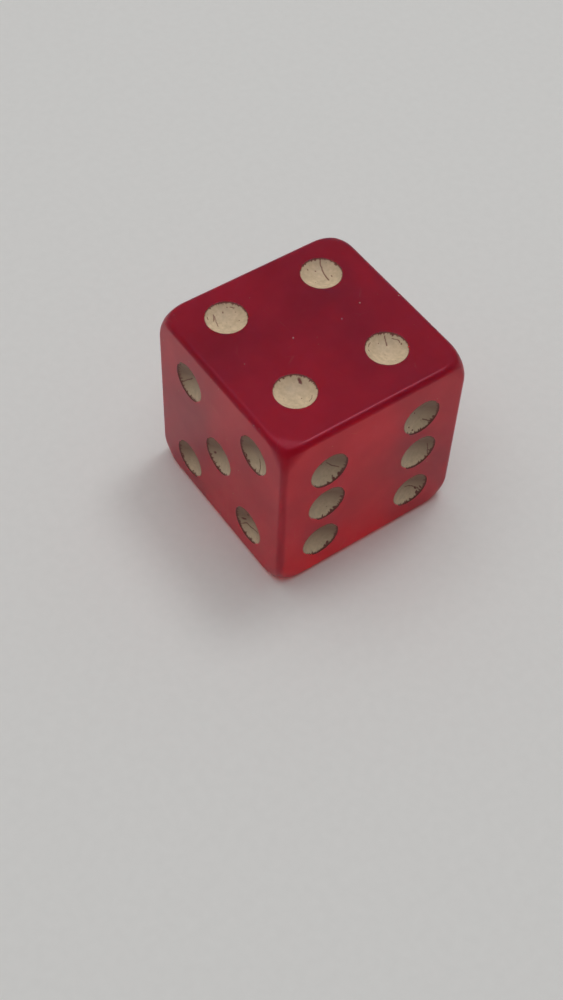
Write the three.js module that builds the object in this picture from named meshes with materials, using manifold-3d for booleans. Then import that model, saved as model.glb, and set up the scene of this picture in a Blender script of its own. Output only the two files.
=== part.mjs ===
// A six-sided die of translucent red plastic, 16 mm wide, with hand-drilled pips.
//
// The die is one sawn and polished block with softened edges and rounder corners. Each of
// its 21 pips is a shallow round recess, lined with a thin, dished layer of cream enamel.
// Opposite faces add up to seven, and 1, 2 and 3 run anticlockwise round their corner.
//
// Millimetres, +Z up. The origin is at the middle of the underside.

import * as THREE from "three";
import { mergeVertices } from "three/addons/utils/BufferGeometryUtils.js";
import Module from "manifold-3d";

// The block. It is a little flatter than a true cube.
const WIDTH = 16; // along X
const DEPTH = 16; // along Y
const HEIGHT = 15.6; // along Z
const EDGE_RADIUS = 0.5; // rounding along an edge
const CORNER_CUT = 1.4; // from a corner, along an edge, to where the corner's cut meets it
const CORNER_BLEND = 1.2; // either side of there, how far the cut eases in
const EDGE_STEPS = 2; // steps in half of an edge's rounding
const CORNER_STEPS = 4; // steps along a face, from its edge to the end of the corner's cut

// The pips.
const PIP_RADIUS = 1.6; // at the face
const PIP_DEPTH = 0.6; // of the recess, at its middle
const ENAMEL_THICKNESS = 0.12; // at the middle of a pip
const ENAMEL_INSET = 0.05; // from the face down to the enamel's rim
const ENAMEL_RIM = 0.04; // width of the enamel's rim
const ENAMEL_GAP = 0.03; // between the enamel and the recess
const DRILL_CLEAR = 0.1; // how far the drill's tip stands out of the face
const PIP_SEGMENTS = 20;
const PIP_RINGS = 3;

// Where each face's pips are, across and up from the middle of the face. The holes were
// drilled by hand, so they stray from an even spacing of 4 mm.
const PIPS = {
  four: [[-4.8, -4.1], [3.6, -4.0], [3.9, 3.7], [-4.7, 4.2]],
  three: [[-4.1, 4.1], [0.1, -0.2], [4.0, -4.2]],
  five: [[-3.8, 4.2], [4.4, 4.3], [0.0, -0.4], [-4.0, -4.8], [3.9, -4.5]],
  two: [[-4.2, -4.1], [4.0, 4.2]],
  six: [[-4.0, 3.6], [-4.0, -0.2], [-4.3, -4.4], [4.1, 4.0], [4.3, -0.1], [4.1, -4.5]],
  one: [[0.1, -0.2]],
};

// How each face is turned, and how far it is from the middle of the die. A face is drawn
// facing +Z, then tipped, then turned about the die's upright axis. A tip of a quarter
// turn makes it the front face.
const QUARTER = Math.PI / 2;
const FACES = {
  four: { tip: 0, turn: 0, reach: HEIGHT / 2 },
  three: { tip: 2 * QUARTER, turn: 0, reach: HEIGHT / 2 },
  five: { tip: QUARTER, turn: 0, reach: DEPTH / 2 },
  six: { tip: QUARTER, turn: QUARTER, reach: WIDTH / 2 },
  two: { tip: QUARTER, turn: 2 * QUARTER, reach: DEPTH / 2 },
  one: { tip: QUARTER, turn: 3 * QUARTER, reach: WIDTH / 2 },
};

const redPlastic = new THREE.MeshStandardMaterial({
  name: "red_plastic",
  color: 0xa3202b,
  roughness: 0.12,
  metalness: 0,
  transparent: true,
  opacity: 0.85,
});

const creamEnamel = new THREE.MeshStandardMaterial({
  name: "cream_enamel",
  color: 0xd8cbb0,
  roughness: 0.6,
  metalness: 0,
});

const wasm = await Module();
wasm.setup();

// A closed geometry as a solid that can be cut.
function solidOf(geometry) {
  const bare = geometry.clone();
  bare.deleteAttribute("normal");
  bare.deleteAttribute("uv");
  const merged = mergeVertices(bare, 1e-4);
  const mesh = new wasm.Mesh({
    numProp: 3,
    vertProperties: merged.attributes.position.array,
    triVerts: new Uint32Array(merged.index.array),
  });
  return new wasm.Manifold(mesh);
}

// A cut solid as a geometry again.
function geometryOf(solid) {
  const mesh = solid.getMesh();
  const geometry = new THREE.BufferGeometry();
  geometry.setAttribute("position", new THREE.BufferAttribute(mesh.vertProperties, 3));
  geometry.setIndex(new THREE.BufferAttribute(mesh.triVerts, 1));
  geometry.computeVertexNormals();
  return geometry;
}

// The places of the grid lines along a side, from one end to the other. They lie close
// together where the edges turn, at even angles of their arcs, and where the corners do.
function gridLines(side) {
  const insets = [0];
  for (let k = 0; k < EDGE_STEPS; k++) {
    insets.push(EDGE_RADIUS * (1 - Math.tan((k * Math.PI) / 4 / EDGE_STEPS)));
  }
  const beyond = CORNER_CUT + CORNER_BLEND - EDGE_RADIUS;
  for (let k = 1; k <= CORNER_STEPS; k++) {
    insets.push(EDGE_RADIUS + (beyond * k) / CORNER_STEPS);
  }
  const upper = insets.map((inset) => side / 2 - inset).sort((a, b) => a - b);
  const lower = upper.map((place) => -place).reverse();
  return [...lower, ...upper];
}

const HALF = new THREE.Vector3(WIDTH, DEPTH, HEIGHT).divideScalar(2);

// Moves a point of a sharp block onto the rounded one. Each corner is cut off square to its
// diagonal, and the cut eases into the faces.
function rounded(point) {
  const inner = HALF.clone().subScalar(EDGE_RADIUS);
  const centre = point.clone().clamp(inner.clone().negate(), inner);
  const place = point.clone().sub(centre).setLength(EDGE_RADIUS).add(centre);
  const corner = new THREE.Vector3(...point.toArray().map(Math.sign)).divideScalar(Math.sqrt(3));
  const inset = HALF.x + HALF.y + HALF.z - place.manhattanLength();
  const past = Math.max(CORNER_CUT + CORNER_BLEND - inset, 0);
  const depth = past ** 2 / (4 * CORNER_BLEND) / Math.sqrt(3);
  return place.addScaledVector(corner, -depth);
}

// The block before it is drilled, round the origin.
function blockGeometry() {
  const lines = [gridLines(WIDTH), gridLines(DEPTH), gridLines(HEIGHT)];
  const steps = lines[0].length - 1;
  const geometry = new THREE.BoxGeometry(steps, steps, steps, steps, steps, steps);
  const position = geometry.attributes.position;
  const point = new THREE.Vector3();
  for (let i = 0; i < position.count; i++) {
    const counted = point.fromBufferAttribute(position, i).toArray();
    point.fromArray(counted.map((count, axis) => lines[axis][Math.round(count + steps / 2)]));
    const moved = rounded(point);
    position.setXYZ(i, moved.x, moved.y, moved.z);
  }
  return geometry;
}

// Points of a shallow dish, from its middle at a depth below the face out to its rim.
function dish(depth, rimRadius, rimHeight) {
  const rise = rimHeight + depth;
  const sphere = (rimRadius ** 2 + rise ** 2) / (2 * rise);
  const spread = Math.asin(rimRadius / sphere);
  const points = [];
  for (let k = 0; k <= PIP_RINGS; k++) {
    const angle = (spread * k) / PIP_RINGS;
    points.push([sphere * Math.sin(angle), sphere * (1 - Math.cos(angle)) - depth]);
  }
  return points;
}

// How wide the ball-shaped tip of the drill is at a height over the face, when it is thinner
// all round by a gap.
const BALL_RADIUS = (PIP_RADIUS ** 2 + PIP_DEPTH ** 2) / (2 * PIP_DEPTH);
function ballWidth(height, gap) {
  const overMiddle = height + PIP_DEPTH - BALL_RADIUS;
  return Math.sqrt((BALL_RADIUS - gap) ** 2 - overMiddle ** 2);
}

// Turns a profile of [radius, height] points about the axis, facing +Z.
function turned(profile) {
  const points = profile.map(([radius, height]) => new THREE.Vector2(radius, height));
  return new THREE.LatheGeometry(points, PIP_SEGMENTS).rotateX(QUARTER);
}

// The tip of the drill, sunk to the depth of a pip.
function drillGeometry() {
  const tip = dish(PIP_DEPTH, ballWidth(DRILL_CLEAR, 0), DRILL_CLEAR);
  return turned([...tip, [0, DRILL_CLEAR]]);
}

// The enamel in a recess. Its back follows the recess, and its front is a shallower dish.
function enamelGeometry() {
  const backDepth = PIP_DEPTH - ENAMEL_GAP;
  const rimRadius = ballWidth(-ENAMEL_INSET, ENAMEL_GAP);
  const back = dish(backDepth, rimRadius, -ENAMEL_INSET);
  const front = dish(backDepth - ENAMEL_THICKNESS, rimRadius - ENAMEL_RIM, -ENAMEL_INSET);
  return turned([...back, ...front.reverse()]);
}

const die = new THREE.Group();
const middle = new THREE.Group();
middle.position.z = HEIGHT / 2;
die.add(middle);

const drill = drillGeometry();
const enamel = enamelGeometry();
let block = solidOf(blockGeometry());

for (const [face, { tip, turn, reach }] of Object.entries(FACES)) {
  const side = new THREE.Group();
  side.rotation.set(tip, 0, turn, "ZXY");
  side.updateMatrix();
  middle.add(side);
  PIPS[face].forEach(([across, up], index) => {
    const pip = new THREE.Mesh(enamel, creamEnamel.clone());
    pip.name = `pip_${face}_${index + 1}`;
    pip.position.set(across, up, reach);
    pip.updateMatrix();
    side.add(pip);
    const place = side.matrix.clone().multiply(pip.matrix);
    block = block.subtract(solidOf(drill.clone().applyMatrix4(place)));
  });
}

const body = new THREE.Mesh(geometryOf(block), redPlastic);
body.name = "die_body";
middle.add(body);

export default die;
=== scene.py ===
"""A translucent red die with cream pips, on a pale floor.

The CAD block is replaced by one with finely rounded edges and smooth recesses. Each pip's
enamel is replaced by a dished layer with a ragged rim, cracks and chips. Everything is in
metres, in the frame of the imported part.
"""
import math
import random

import bpy
import numpy as np
from mathutils import Matrix, Vector, noise


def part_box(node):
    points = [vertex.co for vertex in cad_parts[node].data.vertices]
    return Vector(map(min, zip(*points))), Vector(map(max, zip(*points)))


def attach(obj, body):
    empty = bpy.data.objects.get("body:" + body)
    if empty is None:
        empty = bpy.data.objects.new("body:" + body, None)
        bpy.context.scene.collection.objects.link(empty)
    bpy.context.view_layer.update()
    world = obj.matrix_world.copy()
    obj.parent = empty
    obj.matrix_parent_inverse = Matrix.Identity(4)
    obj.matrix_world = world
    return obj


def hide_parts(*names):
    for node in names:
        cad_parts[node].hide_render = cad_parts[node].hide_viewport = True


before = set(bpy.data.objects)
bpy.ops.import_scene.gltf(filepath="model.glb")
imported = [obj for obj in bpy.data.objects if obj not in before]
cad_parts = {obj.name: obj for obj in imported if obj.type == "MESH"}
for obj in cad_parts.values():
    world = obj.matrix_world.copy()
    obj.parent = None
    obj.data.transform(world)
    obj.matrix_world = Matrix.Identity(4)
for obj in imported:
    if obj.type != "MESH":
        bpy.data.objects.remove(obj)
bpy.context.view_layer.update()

MM = 0.001

# The block. Its size and its middle come from the frame.
LOW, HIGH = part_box("die_body")
MIDDLE = (LOW + HIGH) / 2
HALF = (HIGH - LOW) / 2
EDGE_RADIUS = 0.5 * MM
CORNER_CUT = 1.4 * MM  # from a corner, along an edge, to where the corner's cut meets it
CORNER_BLEND = 1.2 * MM  # either side of there, how far the cut eases in
EDGE_STEPS = 6
CORNER_STEPS = 14
FLAT_AREA = 0.1 * MM * MM  # a polygon of the block that is larger lies flat in a face
TINY = 1e-4 * MM

# The recesses, cut by a ball, with a small round lip.
PIP_RADIUS = 1.6 * MM
PIP_DEPTH = 0.6 * MM
LIP = 0.05 * MM
BALL_RADIUS = (PIP_RADIUS ** 2 + PIP_DEPTH ** 2) / (2 * PIP_DEPTH)
BALL_HEIGHT = BALL_RADIUS - PIP_DEPTH  # of the ball's middle over the face
LIP_CIRCLE = math.sqrt((BALL_RADIUS + LIP) ** 2 - (BALL_HEIGHT + LIP) ** 2)
LIP_ANGLE = math.atan2(LIP_CIRCLE, BALL_HEIGHT + LIP)
LIP_START = BALL_HEIGHT - BALL_RADIUS * math.cos(LIP_ANGLE)  # the height where it begins
RECESS_SEGMENTS = 96
RECESS_RINGS = 16
LIP_RINGS = 4

# The enamel. Its back reaches a little into the plastic, so that it is bonded to it.
ENAMEL_DEPTH = 0.53 * MM  # from the face down to its front, at the middle
ENAMEL_EDGE = 1.565 * MM  # its radius where it is whole
ENAMEL_LEAST_EDGE = 1.33 * MM  # and where it is most worn
DISH_RADIUS = 1.56 * MM  # the front's shape: where it has risen by DISH_RISE
DISH_RISE = 0.505 * MM
DISH_POWER = 2.1
GRIME_AND_SHADE_RADIUS = 1.59 * MM  # how far up the wall the dark film of dirt and painted shade goes, as a radius
GRIME_AND_SHADE_THICKNESS = 0.012 * MM
SINK = 0.012 * MM
ENAMEL_SEGMENTS = 192
FRONT_RINGS = 50
BACK_RINGS = 8
FLAW_REACH = 1.45  # mm from the middle of a pip, how far out random cracks and chips are

# Which side of its pips a face is most worn on, across and up, and how ragged the enamel is
# there. The rest are worn on a random side, and as ragged as 1.
# On that side the bare wall is mostly under a dark film of dirt and painted shade; on four, five
# and six it is the side whose wall faces the camera.
WORN_AND_SHADED_SIDE = {"four": (-0.78, 0.62), "five": (-0.6, -0.8), "six": (0.6, -0.8)}
RAGGED = {"four": 0.55}

# How much painted shade darkens the enamel at the middle of a pip, and which side it gets darker
# towards. It stands in for the dish's shading, and is slight on the top face.
PAINTED_SHADE = {"four": 0.16, "five": 0.82, "six": 0.70}
USUAL_PAINTED_SHADE = 0.64
PAINTED_SHADE_SIDE = {"four": (-0.4, 0.3), "five": (-0.47, 1.0), "six": (0.47, 1.0)}
USUAL_PAINTED_SHADE_SIDE = (0.0, 1.0)
PAINTED_SHADE_SLOPE = 0.69

# Cracks, as points in mm across and up from the middle of a pip, with their half width.
CRACKS = {
    "pip_four_1": [
        (0.018, [(-0.98, -0.46), (-0.74, -0.56), (-0.50, -0.74)]),
        (0.016, [(-0.84, -0.44), (-0.40, -0.60), (0.06, -0.75)]),
        (0.016, [(-0.90, -1.04), (-0.68, -1.10)]),
        (0.018, [(-0.88, 0.92), (-0.64, 1.12)]),
    ],
    "pip_four_2": [(0.012, [(0.75, 0.90), (0.98, 0.70), (1.10, 0.40)])],
    "pip_four_3": [
        (0.020, [(-1.15, 0.68), (-0.82, 0.55), (-0.53, 0.45)]),
        (0.016, [(-0.73, 1.02), (-0.56, 1.12), (-0.38, 1.27), (-0.08, 1.25)]),
        (0.012, [(-1.20, -0.55), (-0.98, -0.90)]),
    ],
    "pip_four_4": [
        (0.026, [(-1.28, 0.79), (-0.94, 0.63), (-0.60, 0.55)]),
        (0.026, [(-0.60, 0.55), (-0.38, 0.48), (0.05, 0.40), (0.51, 0.35)]),
    ],
    "pip_five_1": [(0.024, [(-1.06, -0.99), (-0.79, -0.66), (-0.52, -0.40), (-0.33, -0.15)])],
    "pip_five_3": [(0.030, [(-0.09, -1.34), (-0.21, -1.58)])],
    "pip_five_4": [(0.030, [(0.27, -1.36), (0.10, -1.58)])],
    "pip_five_5": [
        (0.026, [(-0.98, -0.97), (-0.64, -0.69), (-0.40, -0.72), (-0.17, -0.74)]),
        (0.024, [(-0.17, -0.74), (0.35, -0.60), (0.84, -0.38)]),
        (0.030, [(0.40, -1.36), (0.21, -1.60)]),
    ],
    "pip_six_1": [
        (0.022, [(0.04, 0.37), (0.25, 0.10), (0.54, -0.26), (1.02, -0.55)]),
        (0.026, [(0.48, -1.10), (0.44, -1.42)]),
    ],
    "pip_six_2": [(0.020, [(1.36, -0.20), (1.42, -0.42)])],
    "pip_six_4": [(0.026, [(0.47, -0.81), (0.72, -0.95), (1.06, -1.13)])],
    "pip_six_5": [(0.020, [(1.10, 0.03), (1.15, -0.45), (1.07, -0.97)])],
}

# Chips, in mm: across, up, half length, half width, and the turn of the length in degrees.
CHIPS = {
    "pip_four_1": [
        (-0.86, 0.28, 0.05, 0.04, 0),
        (-1.00, 0.72, 0.06, 0.03, 30),
        (0.45, 0.82, 0.05, 0.03, 30),
    ],
    "pip_four_2": [
        (-0.76, 0.93, 0.26, 0.12, -4),
        (-1.50, 0.05, 0.07, 0.10, 0),
        (0.45, 0.25, 0.05, 0.03, 0),
    ],
    "pip_four_3": [
        (-0.60, 1.42, 0.16, 0.08, 20),
        (0.08, 1.25, 0.08, 0.045, -40),
        (-0.67, -1.07, 0.08, 0.03, -20),
    ],
    "pip_four_4": [
        (0.33, 0.73, 0.07, 0.04, -20),
        (-0.75, 0.04, 0.05, 0.06, 0),
        (-1.05, -0.45, 0.05, 0.04, 0),
    ],
    "pip_five_1": [(0.20, 0.40, 0.14, 0.07, 60), (-1.25, 0.70, 0.14, 0.05, 60)],
    "pip_five_2": [(-1.00, -1.00, 0.10, 0.06, -45), (-0.60, -1.30, 0.10, 0.07, -20)],
    "pip_five_3": [
        (-0.88, -0.63, 0.12, 0.10, 50),
        (0.67, 0.37, 0.08, 0.03, 60),
        (-1.50, -0.05, 0.20, 0.08, 80),
    ],
    "pip_five_4": [(-1.10, -0.95, 0.16, 0.07, -60)],
    "pip_five_5": [
        (-0.61, 0.29, 0.17, 0.09, 60),
        (-0.94, -0.44, 0.22, 0.09, 25),
        (-1.20, -0.85, 0.14, 0.07, -55),
    ],
    "pip_six_1": [
        (-0.40, 0.52, 0.10, 0.05, -70),
        (1.28, -0.74, 0.13, 0.09, 50),
        (-1.10, -1.02, 0.16, 0.05, -50),
    ],
    "pip_six_2": [(0.60, -1.36, 0.10, 0.08, 70), (0.95, -1.15, 0.10, 0.06, 60)],
    "pip_six_3": [(0.77, -1.19, 0.20, 0.10, 60), (0.55, -1.32, 0.12, 0.08, 10)],
    "pip_six_4": [
        (-0.28, 0.16, 0.10, 0.05, -70),
        (-0.87, -0.76, 0.10, 0.06, -40),
        (-0.56, -1.20, 0.08, 0.05, -30),
        (-1.10, -1.00, 0.07, 0.05, -45),
    ],
    "pip_six_5": [(1.35, -0.60, 0.12, 0.06, 70)],
    "pip_six_6": [
        (0.81, -0.68, 0.13, 0.07, -50),
        (1.20, -0.64, 0.18, 0.06, -60),
        (0.85, -1.11, 0.22, 0.09, 80),
    ],
}

# The camera: where it stands round the middle of the die, and how it is turned from there.
AZIMUTH = math.radians(51.6)
ELEVATION = math.radians(49.5)
DISTANCE = 112.1 * MM
TURN_UP = math.radians(-3.62)
TURN_RIGHT = math.radians(-0.76)
ROLL = math.radians(3.74)
LENS = 53.7

# The light: a sky that is darker on the camera's side, a large soft lamp overhead, and a
# smaller one beside its middle. Each lamp has a direction, a half angle and a radiance.
SKY_AXIS = Vector((-0.90, 0.15, -0.40)).normalized()
SKY_BRIGHT = 0.30
SKY_DARK = 0.15
LAMP_DISTANCE = 0.5
LAMPS = {
    "overhead": (Vector((-0.10, -0.06, 1.0)).normalized(), math.radians(29), 1.18),
    "beside": (Vector((-0.10, 0.38, 0.92)).normalized(), math.radians(8.5), 6.5),
}


def new_object(name, data):
    made = bpy.data.objects.new(name, data)
    bpy.context.scene.collection.objects.link(made)
    return made


def smoothstep(start, end, value):
    share = np.clip((value - start) / (end - start), 0.0, 1.0)
    return share * share * (3 - 2 * share)


# ------------------------------------------------------------------------------- camera
def place_camera():
    data = bpy.data.cameras.new("camera")
    data.lens = LENS
    data.clip_start = 2 * MM
    camera = new_object("camera", data)
    back = Vector((
        math.sin(AZIMUTH) * math.cos(ELEVATION),
        -math.cos(AZIMUTH) * math.cos(ELEVATION),
        math.sin(ELEVATION),
    ))
    aim = (-back).to_track_quat("-Z", "Y").to_matrix().to_4x4()
    tilt = Matrix.Rotation(TURN_UP, 4, "X") @ Matrix.Rotation(-TURN_RIGHT, 4, "Y")
    roll = Matrix.Rotation(ROLL, 4, "Z")
    camera.matrix_world = Matrix.Translation(MIDDLE + back * DISTANCE) @ aim @ tilt @ roll
    bpy.context.scene.camera = camera


# -------------------------------------------------------------------------------- block
def grid_lines(half):
    """Where the block's grid lines cross an axis: close together where the surface turns."""
    angles = [k * math.pi / 4 / EDGE_STEPS for k in range(EDGE_STEPS)]
    insets = {0.0} | {EDGE_RADIUS * (1 - math.tan(angle)) for angle in angles}
    beyond = CORNER_CUT + CORNER_BLEND - EDGE_RADIUS
    insets |= {EDGE_RADIUS + beyond * k / CORNER_STEPS for k in range(1, CORNER_STEPS + 1)}
    upper = sorted(half - inset for inset in insets)
    return [-place for place in reversed(upper)] + upper


def rounded(point):
    """Moves a point of a sharp block onto the rounded one, and gives the normal there."""
    limits = [half - EDGE_RADIUS for half in HALF]
    centre = Vector([min(max(place, -limit), limit) for place, limit in zip(point, limits)])
    normal = (point - centre).normalized()
    place = centre + normal * EDGE_RADIUS
    # The corner is cut off square to its diagonal, and the cut eases into the faces. Its
    # slope stays just under 1, so that the normal stays finite.
    corner = Vector([math.copysign(1 / math.sqrt(3), value) for value in point])
    inset = sum(half - abs(value) for half, value in zip(HALF, place))
    past = min(max(CORNER_CUT + CORNER_BLEND - inset, 0), 1.98 * CORNER_BLEND)
    slope = past / (2 * CORNER_BLEND)
    place -= corner * (slope * past / 2 / math.sqrt(3))
    normal += corner * (corner.dot(normal) * slope / (1 - slope))
    return place, normal.normalized()


def place_key(place):
    return tuple(round(value / MM, 4) for value in place)


def block_mesh():
    """The rounded block, and the normal at each of its vertices."""
    lines = [grid_lines(half) for half in HALF]
    last = len(lines[0]) - 1
    places, normals, index = [], [], {}

    def vertex(*step):
        if step not in index:
            sharp = Vector([lines[axis][step[axis]] for axis in range(3)])
            place, normal = rounded(sharp)
            index[step] = len(places)
            places.append(place + MIDDLE)
            normals.append(normal)
        return index[step]

    faces = []
    for a in range(last):
        for b in range(last):
            corners = [(a, b), (a + 1, b), (a + 1, b + 1), (a, b + 1)]
            for end, ring in ((0, corners[::-1]), (last, corners)):
                faces.append([vertex(u, v, end) for u, v in ring])
                faces.append([vertex(end, u, v) for u, v in ring])
                faces.append([vertex(v, end, u) for u, v in ring])
    mesh = bpy.data.meshes.new("block")
    mesh.from_pydata(places, [], faces)
    return mesh, {place_key(place): normal for place, normal in zip(places, normals)}


def pip_matrices():
    """For each pip, what takes its own frame, facing +Z, to its place on the die."""
    matrices = {}
    for name in sorted(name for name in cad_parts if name.startswith("pip_")):
        low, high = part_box(name)
        centre = (low + high) / 2 - MIDDLE
        axis = max(range(3), key=lambda a: abs(centre[a]) / HALF[a])
        normal = Vector((0, 0, 0))
        normal[axis] = math.copysign(1, centre[axis])
        centre[axis] = math.copysign(HALF[axis], centre[axis])
        across = Vector((1, 0, 0)) if axis == 2 else Vector((0, 0, 1)).cross(normal)
        turn = Matrix((across, normal.cross(across), normal)).transposed().to_4x4()
        matrices[name] = Matrix.Translation(centre + MIDDLE) @ turn
    return matrices


PIPS = pip_matrices()


def recess_profile():
    """(radius, height) points from the middle of a recess out over its lip."""
    points = []
    for k in range(RECESS_RINGS + 1):
        angle = LIP_ANGLE * k / RECESS_RINGS
        points.append((BALL_RADIUS * math.sin(angle), BALL_HEIGHT - BALL_RADIUS * math.cos(angle)))
    for k in range(1, LIP_RINGS + 1):
        angle = LIP_ANGLE * (1 - 0.8 * k / LIP_RINGS)
        points.append((LIP_CIRCLE - LIP * math.sin(angle), LIP * (math.cos(angle) - 1)))
    return points


def drill_mesh():
    """All the recesses as one closed cutter, which stands a little out of the faces."""
    profile = recess_profile()
    (radius, height), (outer_radius, outer_height) = profile[-2:]
    top = 0.02 * MM
    slope = (outer_radius - radius) / (outer_height - height)
    profile.append((outer_radius + (top - outer_height) * slope, top))
    rings = profile[1:]
    places, faces = [], []
    for matrix in PIPS.values():
        start = len(places) + 1
        places.append(matrix @ Vector((0, 0, profile[0][1])))
        for radius, height in rings:
            for s in range(RECESS_SEGMENTS):
                angle = 2 * math.pi * s / RECESS_SEGMENTS
                x, y = radius * math.cos(angle), radius * math.sin(angle)
                places.append(matrix @ Vector((x, y, height)))
        places.append(matrix @ Vector((0, 0, top)))
        faces += lathe_faces(start, len(rings), RECESS_SEGMENTS, inwards=False)
    mesh = bpy.data.meshes.new("drill")
    mesh.from_pydata(places, [], faces)
    return mesh


def lathe_faces(start, rings, segments, inwards):
    """Faces of a closed turned shape: a pole, its rings from there, and the other pole."""
    faces = []
    end_pole = start + rings * segments
    for s in range(segments):
        t = (s + 1) % segments
        if inwards:
            s, t = t, s
        faces.append([start - 1, start + t, start + s])
        for ring in range(rings - 1):
            a = start + ring * segments
            b = a + segments
            faces.append([a + s, a + t, b + t, b + s])
        a = end_pole - segments
        faces.append([a + s, a + t, end_pole])
    return faces


def recess_normal(place, matrix, back):
    """The normal of a recess or its lip at a place on it."""
    local = back @ place
    if local.z < LIP_START + TINY:
        normal = Vector((0, 0, BALL_HEIGHT)) - local
    else:
        outwards = Vector((local.x, local.y, 0)).normalized()
        normal = local - (outwards * LIP_CIRCLE - Vector((0, 0, LIP)))
    return (matrix.to_3x3() @ normal).normalized()


def block_normals(mesh, normal_at):
    """The drilled block's normals, one for each corner of each polygon."""
    turns = [(matrix, matrix.inverted()) for matrix in PIPS.values()]
    normals = [None] * len(mesh.loops)
    for polygon in mesh.polygons:
        pip = None
        for matrix, back in turns:
            local = back @ polygon.center
            in_recess = local.xy.length < PIP_RADIUS + 2 * LIP and -MM < local.z < -TINY
            if in_recess:
                pip = (matrix, back)
        for loop in polygon.loop_indices:
            place = mesh.vertices[mesh.loops[loop].vertex_index].co
            if pip:
                normals[loop] = recess_normal(place, *pip)
            elif polygon.area > FLAT_AREA:
                normals[loop] = polygon.normal
            else:
                normals[loop] = normal_at.get(place_key(place), polygon.normal)
    return [tuple(normal) for normal in normals]


def make_block():
    mesh, normal_at = block_mesh()
    block = new_object("red_block", mesh)
    drill = new_object("drill", drill_mesh())
    cut = block.modifiers.new("cut", "BOOLEAN")
    cut.object = drill
    cut.operation = "DIFFERENCE"
    cut.solver = "EXACT"
    drilled = block.evaluated_get(bpy.context.evaluated_depsgraph_get())
    block.data = bpy.data.meshes.new_from_object(drilled)
    block.modifiers.clear()
    bpy.data.objects.remove(drill)
    block.data.shade_smooth()
    block.data.normals_split_custom_set(block_normals(block.data, normal_at))
    block.data.materials.clear()
    block.data.materials.append(clear_red_plastic())
    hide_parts("die_body")
    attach(block, "root")


# ------------------------------------------------------------------------------- enamel
def noise_at(x, y, size, seed):
    """Smooth noise, from about -1 to 1, with features of a size."""
    places = np.stack([x.ravel() / size, y.ravel() / size], 1)
    values = [noise.noise(Vector((u, v, seed * 7.31))) for u, v in places]
    return np.array(values).reshape(x.shape)


def wall_height(radius):
    return BALL_HEIGHT - np.sqrt(BALL_RADIUS ** 2 - radius ** 2)


def distance_to(x, y, points):
    """How far each place is from a line through points."""
    nearest = np.full(x.shape, np.inf)
    for (ax, ay), (bx, by) in zip(points[:-1], points[1:]):
        dx, dy = bx - ax, by - ay
        along = np.clip(((x - ax) * dx + (y - ay) * dy) / (dx * dx + dy * dy), 0, 1)
        nearest = np.minimum(nearest, np.hypot(x - ax - along * dx, y - ay - along * dy))
    return nearest


def random_cracks(dice):
    """One or two cracks, each wandering from the rim towards the middle, in mm."""
    cracks = []
    for _ in range(dice.choice((1, 1, 2))):
        angle = dice.uniform(0, 2 * math.pi)
        heading = angle + math.pi + dice.uniform(-0.6, 0.6)
        x, y = FLAW_REACH * math.cos(angle), FLAW_REACH * math.sin(angle)
        points = [(x, y)]
        for _ in range(dice.randint(2, 5)):
            heading += dice.uniform(-0.5, 0.5)
            x += 0.3 * math.cos(heading)
            y += 0.3 * math.sin(heading)
            points.append((x, y))
        cracks.append((dice.uniform(0.016, 0.026), points))
    return cracks


def random_chips(dice, count, least, most):
    """Small chips anywhere in a pip, in mm."""
    chips = []
    for _ in range(count):
        angle = dice.uniform(0, 2 * math.pi)
        radius = FLAW_REACH * math.sqrt(dice.random())
        length = dice.uniform(least, most)
        width = length * dice.uniform(0.5, 1)
        chips.append((
            radius * math.cos(angle), radius * math.sin(angle), length, width, dice.uniform(0, 180),
        ))
    return chips


def flaw_share(x, y, name, seed):
    """How deep in a crack, chip or pit each place is, from 0 to 1."""
    dice = random.Random(name)
    cracks = CRACKS.get(name) or random_cracks(dice)
    chips = CHIPS.get(name) or random_chips(dice, 2, 0.07, 0.16)
    chips = chips + random_chips(dice, 12, 0.012, 0.030)
    wander_x = x + 0.035 * MM * noise_at(x, y, 0.16 * MM, seed + 0.3)
    wander_y = y + 0.035 * MM * noise_at(x, y, 0.16 * MM, seed + 0.6)
    share = np.zeros(x.shape)
    for half_width, points in cracks:
        gap = distance_to(wander_x, wander_y, [(u * MM, v * MM) for u, v in points]) / MM
        share = np.maximum(share, 0.85 * (1 - smoothstep(half_width, 2.4 * half_width, gap)))
    for across, up, length, width, turn in chips:
        cosine, sine = math.cos(math.radians(turn)), math.sin(math.radians(turn))
        u, v = wander_x / MM - across, wander_y / MM - up
        reach = np.hypot((u * cosine + v * sine) / length, (v * cosine - u * sine) / width)
        share = np.maximum(share, 1 - smoothstep(0.7, 1.3, reach))
    return share


def face_of(name):
    """The face that a pip is on: pip_four_1 is on four."""
    return name.split("_")[1]


def ragged_edge(name, angles, seed):
    """Round the pip: the radius where the enamel ends, and how much of the wall is dark with dirt
    and painted shade.
    """
    face = face_of(name)
    x, y = np.cos(angles), np.sin(angles)
    turn = random.Random(name + " side").uniform(0, 2 * math.pi)
    side = WORN_AND_SHADED_SIDE.get(face, (math.cos(turn), math.sin(turn)))
    facing = smoothstep(-0.3, 0.9, x * side[0] + y * side[1])
    worn = RAGGED.get(face, 1.0) * facing
    # In mm: the edge wavers slowly and finely, and bites are out of it where it is worn.
    slow = 0.006 * noise_at(x, y, 0.45, seed)
    fine = (0.006 + 0.04 * worn) * noise_at(x, y, 0.06, seed + 0.2)
    bites = (0.04 + 0.28 * worn) * np.maximum(noise_at(x, y, 0.08, seed + 0.4), 0)
    edge = ENAMEL_EDGE + (slow + fine - bites - 0.07 * worn) * MM
    edge = np.clip(edge, ENAMEL_LEAST_EDGE, GRIME_AND_SHADE_RADIUS - 0.005 * MM)
    # The dark film of dirt and painted shade covers the wall mostly on the worn side.
    cover = smoothstep(0.25, 0.5, facing + 0.45 * noise_at(x, y, 0.18, seed + 0.8))
    return edge, cover


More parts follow.
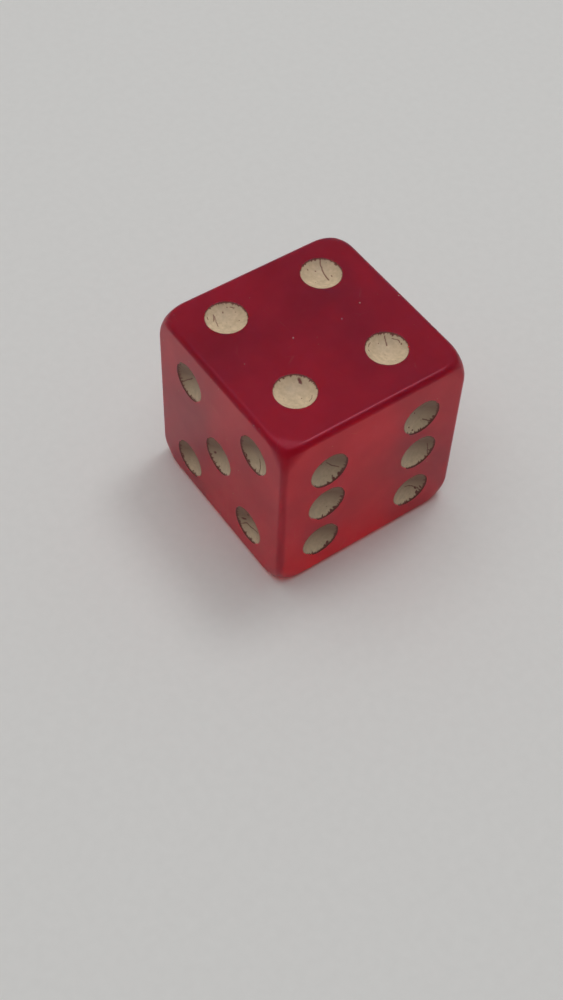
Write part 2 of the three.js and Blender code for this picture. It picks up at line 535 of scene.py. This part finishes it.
def painted_shade_share(name, places):
    """How much painted shade darkens a pip at each place, more towards its shaded side."""
    face = face_of(name)
    towards_dark = places[:, :2] @ np.array(PAINTED_SHADE_SIDE.get(face, USUAL_PAINTED_SHADE_SIDE)) / PIP_RADIUS
    return PAINTED_SHADE.get(face, USUAL_PAINTED_SHADE) + PAINTED_SHADE_SLOPE * towards_dark


def enamel_mesh(name, seed):
    """A pip's enamel, facing +Z: a front with its rings from the middle out, then its back."""
    angles = 2 * math.pi * np.arange(ENAMEL_SEGMENTS) / ENAMEL_SEGMENTS
    edge, cover = ragged_edge(name, angles, seed)
    outer = edge + (GRIME_AND_SHADE_RADIUS - edge) * cover
    # The front's rings lie closer together towards the rim.
    steps = np.arange(1, FRONT_RINGS + 1) / FRONT_RINGS
    radius = np.outer(1.2 * steps - 0.2 * steps ** 3, outer)
    x, y = radius * np.cos(angles), radius * np.sin(angles)

    # The front is a dish down to the bare wall, which beyond the edge stays under a thin dark film
    # of dirt and painted shade.
    wall = wall_height(radius)
    pooled = 0.012 * noise_at(x, y, 0.5 * MM, seed) + 0.004 * noise_at(x, y, 0.12 * MM, seed)
    dish = DISH_RISE * (radius / DISH_RADIUS) ** DISH_POWER + pooled * MM - ENAMEL_DEPTH
    painted = 1 - smoothstep(edge - 0.02 * MM, edge + 0.006 * MM, radius)
    thickness = np.maximum(dish - wall, GRIME_AND_SHADE_THICKNESS) - GRIME_AND_SHADE_THICKNESS
    flaws = flaw_share(x, y, name, seed) * painted
    front = wall + GRIME_AND_SHADE_THICKNESS + thickness * painted * (1 - 0.75 * flaws)
    rim = smoothstep(edge - 0.08 * MM, edge - 0.01 * MM, radius)
    rim *= np.clip(0.35 + 0.5 * noise_at(x, y, 0.22 * MM, seed + 0.5), 0, 0.7)
    # Dark with dirt in cracks, chips and at the rim, and over the bare wall, where it is also
    # painted shade.
    grime_and_shade = np.maximum(np.maximum(flaws, rim), 1 - painted)

    back_steps = np.arange(BACK_RINGS, 0, -1) / BACK_RINGS
    back_radius = np.outer(back_steps, outer)
    back = wall_height(back_radius) - SINK
    back_x, back_y = back_radius * np.cos(angles), back_radius * np.sin(angles)

    first = [[0, 0, -ENAMEL_DEPTH]]
    last = [[0, 0, -PIP_DEPTH - SINK]]
    front_places = np.stack([x, y, front], 2).reshape(-1, 3)
    back_places = np.stack([back_x, back_y, back], 2).reshape(-1, 3)
    places = np.concatenate([first, front_places, back_places, last])
    mesh = bpy.data.meshes.new(name)
    faces = lathe_faces(1, FRONT_RINGS + BACK_RINGS, ENAMEL_SEGMENTS, inwards=True)
    mesh.from_pydata(places.tolist(), [], faces)
    mesh.shade_smooth()
    backs = np.zeros(len(places))
    backs[1 + len(front_places):] = 1
    # The dark of dirt, and of painted shade on the bare wall.
    grime_and_shade_values = np.concatenate([[0], grime_and_shade.ravel(), np.zeros(len(back_places) + 1)])
    # How much painted shade darkens each place.
    painted_shade_values = painted_shade_share(name, places)
    for label, values in (("grime_and_shade", grime_and_shade_values), ("back", backs), ("painted_shade", painted_shade_values)):
        layer = mesh.attributes.new(label, "FLOAT", "POINT")
        layer.data.foreach_set("value", values.astype(np.float32))
    return mesh


def make_enamel():
    material = old_cream_enamel()
    for seed, (name, matrix) in enumerate(PIPS.items(), start=1):
        mesh = enamel_mesh(name, seed)
        mesh.transform(matrix)
        mesh.materials.append(material)
        piece = new_object("enamel_" + name, mesh)
        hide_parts(name)
        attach(piece, "root")


# ---------------------------------------------------------------------------- materials
DEEP_RED = (0.76, 0.05, 0.20, 1)
BRIGHT_RED = (0.96, 0.075, 0.25, 1)
SCUFFED_RED = (1.0, 0.75, 0.75, 1)
DARK_CREAM = (0.65, 0.50, 0.32, 1)
LIGHT_CREAM = (0.85, 0.655, 0.44, 1)
PATCHY_CREAM = (0.54, 0.43, 0.29, 1)
# The brown that the painted shade darkens the enamel towards.
PAINTED_SHADE_CREAM = (0.25, 0.138, 0.085, 1)
CLEAN_BACK = (0.92, 0.80, 0.62, 1)
# Dark red-brown for dirt, and for painted shade on the bare wall.
GRIME_AND_SHADE = (0.16, 0.036, 0.027, 1)
DARK_FLOOR = (0.84, 0.835, 0.82, 1)
LIGHT_FLOOR = (0.86, 0.855, 0.84, 1)


def new_material(name):
    material = bpy.data.materials.new(name)
    material.use_nodes = True
    tree = material.node_tree
    return material, tree, tree.nodes["Principled BSDF"]


def feed(tree, socket, value):
    """Sets a socket, or links it where the value is a socket itself."""
    if isinstance(value, bpy.types.NodeSocket):
        tree.links.new(value, socket)
    else:
        socket.default_value = value


def add_node(tree, kind, inputs, **settings):
    made = tree.nodes.new("ShaderNode" + kind)
    for name, value in settings.items():
        setattr(made, name, value)
    for name, value in inputs.items():
        feed(tree, made.inputs[name], value)
    return made


def object_places(tree):
    return add_node(tree, "TexCoord", {}).outputs["Object"]


def noise_value(tree, places, size, detail=3.0):
    inputs = {"Vector": places, "Scale": 1 / size, "Detail": detail}
    return add_node(tree, "TexNoise", inputs).outputs["Fac"]


def ranged(tree, value, start, end, low, high):
    """A value's way from start to end, as one from low to high, and level beyond."""
    inputs = {"Value": value, "From Min": start, "From Max": end, "To Min": low, "To Max": high}
    return add_node(tree, "MapRange", inputs, clamp=True).outputs["Result"]


def mixed(tree, share, first, second):
    """A colour between two, at a share of the second."""
    node = tree.nodes.new("ShaderNodeMix")
    node.data_type = "RGBA"
    feed(tree, node.inputs[0], share)
    feed(tree, node.inputs[6], first)
    feed(tree, node.inputs[7], second)
    return node.outputs[2]


def calculated(tree, operation, first, second):
    return add_node(tree, "Math", {0: first, 1: second}, operation=operation).outputs["Value"]


def bumped(tree, shader, height, distance, strength):
    inputs = {"Height": height, "Distance": distance, "Strength": strength}
    feed(tree, shader.inputs["Normal"], add_node(tree, "Bump", inputs).outputs["Normal"])


def specks(tree, places, spacing, radius):
    """1 in small round spots, and 0 elsewhere."""
    cells = add_node(tree, "TexVoronoi", {"Vector": places, "Scale": 1 / spacing})
    share = radius / spacing
    return ranged(tree, cells.outputs["Distance"], 0.6 * share, share, 1, 0)


def scratches(tree, places, lengths, width, patch):
    """1 in fine lines along the axis with the greatest length, in scattered patches."""
    scale = [1 / length for length in lengths]
    stretched = add_node(tree, "Mapping", {"Vector": places, "Scale": scale}).outputs["Vector"]
    inputs = {"Vector": stretched, "Scale": 1.0}
    cells = add_node(tree, "TexVoronoi", inputs, feature="DISTANCE_TO_EDGE")
    line = ranged(tree, cells.outputs["Distance"], 0.3 * width, width, 1, 0)
    shown = ranged(tree, noise_value(tree, places, patch, 1.0), 0.62, 0.70, 0, 1)
    return calculated(tree, "MULTIPLY", line, shown)


def clear_red_plastic():
    """Slightly hazy red plastic, with a hand-polished surface, fine scratches and specks."""
    material, tree, shader = new_material("clear_red_plastic")
    places = object_places(tree)
    drift = noise_value(tree, places, 5 * MM)
    lines = calculated(
        tree, "MAXIMUM",
        scratches(tree, places, (9 * MM, 1.1 * MM, 3 * MM), 0.012, 2.6 * MM),
        scratches(tree, places, (1.2 * MM, 3 * MM, 8 * MM), 0.012, 3.1 * MM),
    )
    spots = specks(tree, places, 1.1 * MM, 0.055 * MM)
    wear = calculated(tree, "MAXIMUM", calculated(tree, "MULTIPLY", lines, 0.12), spots)

    red = mixed(tree, ranged(tree, drift, 0.35, 0.65, 0, 1), DEEP_RED, BRIGHT_RED)
    feed(tree, shader.inputs["Base Color"], mixed(tree, wear, red, SCUFFED_RED))
    polish = ranged(tree, noise_value(tree, places, 1.6 * MM), 0.3, 0.7, 0.28, 0.30)
    feed(tree, shader.inputs["Roughness"], polish)
    shader.inputs["IOR"].default_value = 1.49
    shader.inputs["Specular Tint"].default_value = (1.0, 0.33, 0.45, 1)
    feed(tree, shader.inputs["Transmission Weight"], ranged(tree, wear, 0, 1, 0.90, 0.1))
    shader.inputs["Subsurface Weight"].default_value = 1.0
    shader.inputs["Subsurface Radius"].default_value = (1.0, 0.04, 0.05)
    shader.inputs["Subsurface Scale"].default_value = 20 * MM
    waves = noise_value(tree, places, 0.9 * MM, 2.0)
    height = calculated(tree, "SUBTRACT", calculated(tree, "MULTIPLY", waves, 0.5), lines)
    bumped(tree, shader, height, 0.002 * MM, 0.2)

    inputs = {"Color": (0.985, 0.15, 0.20, 1), "Density": 850}
    absorption = add_node(tree, "VolumeAbsorption", inputs)
    feed(tree, tree.nodes["Material Output"].inputs["Volume"], absorption.outputs["Volume"])
    return material


def old_cream_enamel():
    """Yellowed, mottled enamel, dark in its cracks and at its rim with dirt, and on the bare wall
    with dirt and painted shade. Painted shade darkens its dish too. Its back is still clean.
    """
    material, tree, shader = new_material("old_cream_enamel")
    places = object_places(tree)
    grime_and_shade = add_node(tree, "Attribute", {}, attribute_name="grime_and_shade").outputs["Fac"]
    back = add_node(tree, "Attribute", {}, attribute_name="back").outputs["Fac"]
    painted_shade_level = add_node(tree, "Attribute", {}, attribute_name="painted_shade").outputs["Fac"]
    mottle = noise_value(tree, places, 0.30 * MM, 5.0)
    patches = noise_value(tree, places, 0.9 * MM, 2.0)
    cream = mixed(tree, ranged(tree, mottle, 0.30, 0.70, 0, 1), DARK_CREAM, LIGHT_CREAM)
    cream = mixed(tree, ranged(tree, patches, 0.45, 0.75, 0, 0.45), cream, PATCHY_CREAM)
    # Painted shade in the dish, most on the side faces and towards each pip's shaded side.
    cream = mixed(tree, painted_shade_level, cream, PAINTED_SHADE_CREAM)
    cream = mixed(tree, back, cream, CLEAN_BACK)
    # Dirt darkens cracks, chips and the rim; on the bare wall this dark is also painted shade.
    feed(tree, shader.inputs["Base Color"], mixed(tree, grime_and_shade, cream, GRIME_AND_SHADE))
    feed(tree, shader.inputs["Roughness"], ranged(tree, mottle, 0.3, 0.7, 0.42, 0.62))
    bumped(tree, shader, noise_value(tree, places, 0.11 * MM, 4.0), 0.006 * MM, 0.6)
    return material


def pale_floor():
    material, tree, shader = new_material("pale_floor")
    places = object_places(tree)
    fibres = ranged(tree, noise_value(tree, places, 0.8 * MM, 6.0), 0.3, 0.7, 0, 1)
    feed(tree, shader.inputs["Base Color"], mixed(tree, fibres, DARK_FLOOR, LIGHT_FLOOR))
    shader.inputs["Roughness"].default_value = 0.8
    return material


# -------------------------------------------------------------------------------- stage
def make_floor():
    reach = 1.5
    corners = [(-reach, -reach, 0), (reach, -reach, 0), (reach, reach, 0), (-reach, reach, 0)]
    mesh = bpy.data.meshes.new("floor")
    mesh.from_pydata(corners, [], [(0, 1, 2, 3)])
    mesh.materials.append(pale_floor())
    floor = new_object("floor", mesh)
    floor.location.z = LOW.z - 0.002 * MM


def make_sky():
    world = bpy.data.worlds.new("sky")
    bpy.context.scene.world = world
    world.use_nodes = True
    tree = world.node_tree
    direction = add_node(tree, "TexCoord", {}).outputs["Generated"]
    towards = add_node(tree, "VectorMath", {0: direction, 1: SKY_AXIS}, operation="DOT_PRODUCT")
    level = ranged(tree, towards.outputs["Value"], -0.85, -0.20, SKY_DARK, SKY_BRIGHT)
    background = tree.nodes["Background"]
    background.inputs["Color"].default_value = (1.0, 0.998, 0.985, 1)
    feed(tree, background.inputs["Strength"], level)


def make_lamps():
    for name, (direction, half_angle, radiance) in LAMPS.items():
        radius = LAMP_DISTANCE * math.tan(half_angle)
        lamp = bpy.data.lights.new(name, "AREA")
        lamp.shape = "DISK"
        lamp.size = 2 * radius
        lamp.energy = radiance * math.pi * (math.pi * radius ** 2)
        softbox = new_object("lamp_" + name, lamp)
        softbox.location = MIDDLE + direction * LAMP_DISTANCE
        softbox.rotation_euler = direction.to_track_quat("Z", "Y").to_euler()


def set_rendering():
    scene = bpy.context.scene
    scene.view_settings.view_transform = "Standard"
    scene.cycles.max_bounces = 24
    scene.cycles.transmission_bounces = 20
    scene.cycles.glossy_bounces = 8
    scene.cycles.diffuse_bounces = 6


place_camera()
make_block()
make_enamel()
make_floor()
make_sky()
make_lamps()
set_rendering()
